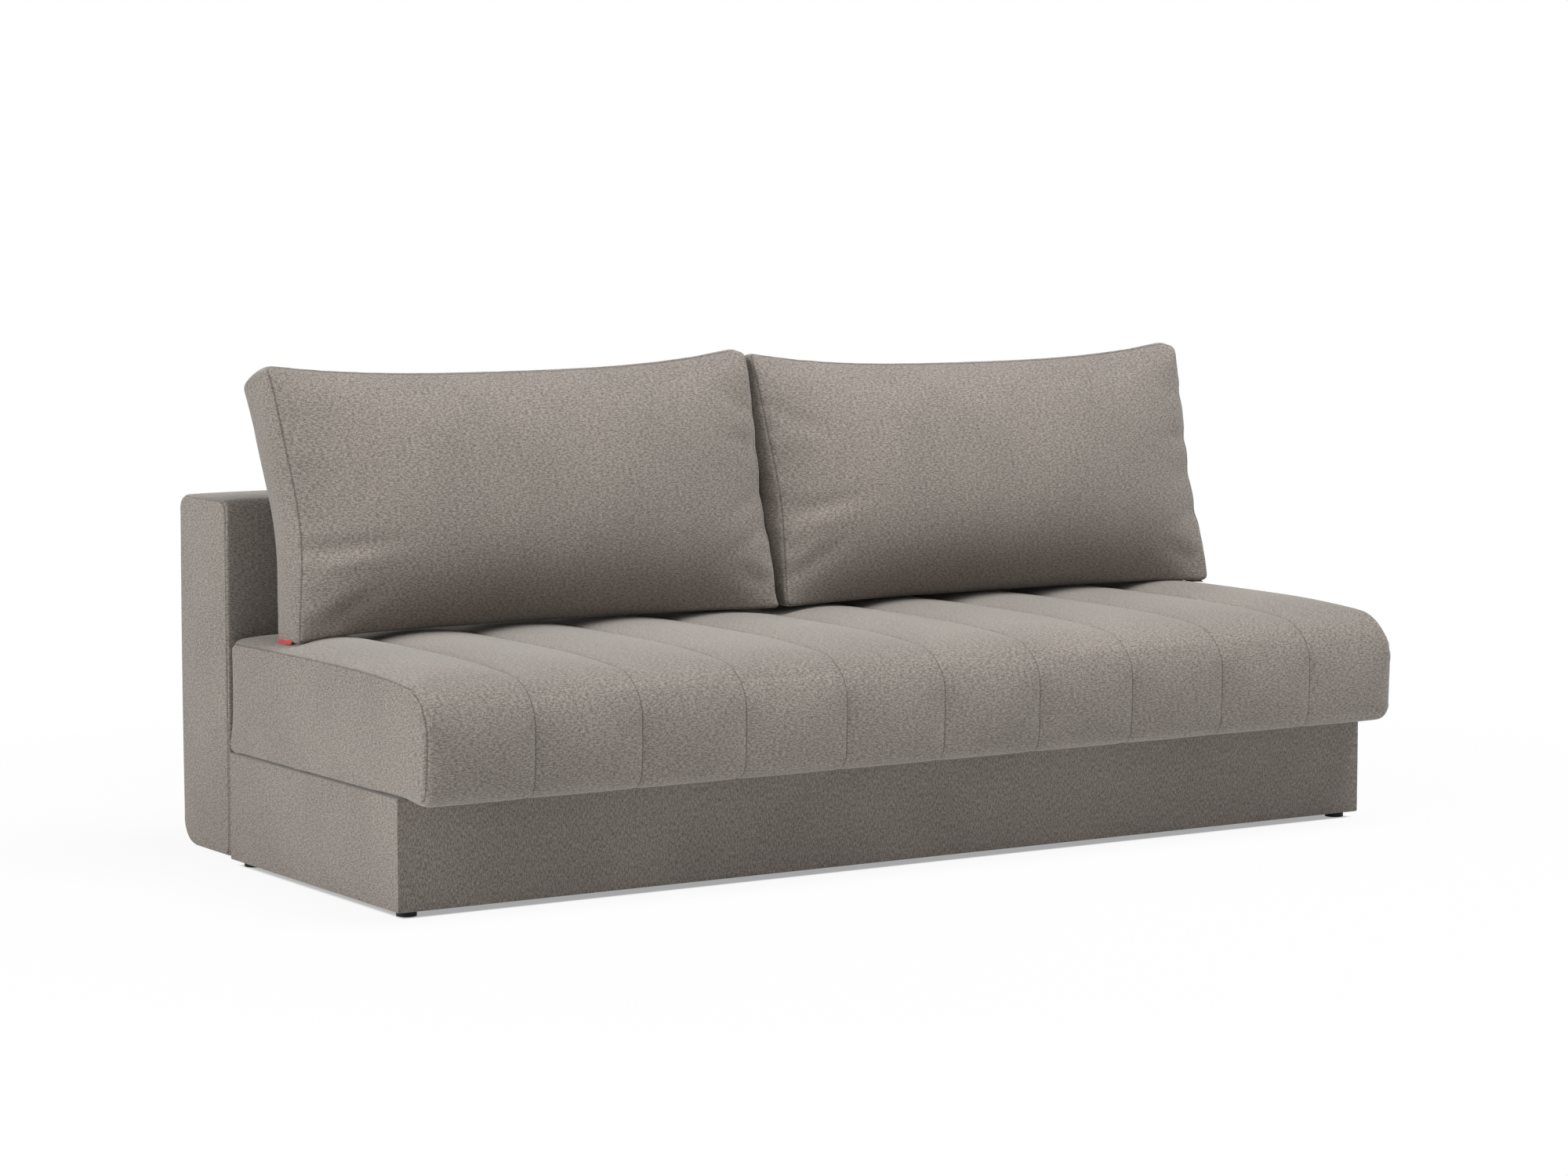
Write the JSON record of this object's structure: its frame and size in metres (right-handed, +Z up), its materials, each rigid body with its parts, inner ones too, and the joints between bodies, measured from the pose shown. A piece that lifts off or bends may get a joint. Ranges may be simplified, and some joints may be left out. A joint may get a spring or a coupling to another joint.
{
  "type": "sofa bed",
  "caption": "Armless pull-out sofa bed: channel-stitched seat that slides forward, back that folds down into a level bed, and loose back cushions.",
  "frame": {"origin": "centre of the sofa's bounding box on the floor", "axes": "+Z up; -Y to the front, the way a sitter faces; +X along the seat"},
  "size_m": [2.012, 0.9429, 0.8668],
  "materials": {
    "upholstery": "woven taupe melange",
    "core": "pocket springs and foam",
    "tab": "plain red woven",
    "timber": "planed softwood",
    "board": "raw board",
    "steel": "zinc plated",
    "black_plastic": "matte",
    "nylon": "matte",
    "rubber": "matte"
  },
  "bodies": {
    "base": {"side_board_left": "board", "side_board_right": "board", "side_cover_left": "upholstery", "side_cover_right": "upholstery", "rear_board": "board", "box_floor": "board", "inner_board_left": "board", "inner_board_right": "board", "glide_strip_left": "nylon", "glide_strip_right": "nylon", "base_feet": "black_plastic", "hinge_base_leaves": "steel", "hinge_pins": "steel"},
    "back": {"back_pad": "upholstery", "back_sheet": "upholstery", "back_rail_top": "timber", "back_rail_bottom": "timber", "back_stiles": "timber", "back_core": "core", "back_buffers": "rubber", "hinge_back_leaves": "steel", "link_back_brackets": "steel", "link_upper_pins": "steel"},
    "link_left": {"link_left": "steel"},
    "link_right": {"link_right": "steel"},
    "seat": {"seat_pad": "upholstery", "seat_core": "core", "seat_slats": "timber", "seat_rail_front": "timber", "seat_rail_rear": "timber", "seat_cross_rails": "timber", "seat_runner_left": "timber", "seat_runner_right": "timber", "link_seat_brackets": "steel", "link_lower_pins": "steel", "front_board": "board", "front_cover": "upholstery", "corner_block_left": "timber", "corner_block_right": "timber", "front_feet": "black_plastic", "centre_tie": "steel"},
    "cushion_left": {"cushion_left": "upholstery", "cushion_tab_left": "tab"},
    "cushion_right": {"cushion_right": "upholstery", "cushion_tab_right": "tab"}
  },
  "joints": [
    {"name": "back_fold", "type": "hinge", "parent": "base", "child": "back", "pos_m": [0, 0.2655, 0.206], "axis": [1, 0, 0], "range_deg": [0, 90]},
    {"name": "link_left_turn", "type": "hinge", "parent": "back", "child": "link_left", "pos_m": [-0.6, 0.2655, 0.424], "axis": [-1, 0, 0], "range_deg": [0, 180]},
    {"name": "seat_pull", "type": "hinge", "parent": "link_left", "child": "seat", "pos_m": [-0.6, 0.2655, 0.206], "axis": [1, 0, 0], "range_deg": [0, 90]},
    {"name": "link_right_turn", "type": "hinge", "parent": "back", "child": "link_right", "pos_m": [0.6, 0.2655, 0.424], "axis": [-1, 0, 0], "range_deg": [0, 180]},
    {"name": "cushion_left_lift", "type": "slide", "parent": "seat", "child": "cushion_left", "axis": [0, 0, 1], "range_m": [0, 0.5]},
    {"name": "cushion_right_lift", "type": "slide", "parent": "seat", "child": "cushion_right", "axis": [0, 0, 1], "range_m": [0, 0.5]}
  ],
  "couplings": [
    {"joint": "link_left_turn", "follows": "back_fold", "ratio": 2},
    {"joint": "seat_pull", "follows": "back_fold", "ratio": 1},
    {"joint": "link_right_turn", "follows": "back_fold", "ratio": 2}
  ]
}
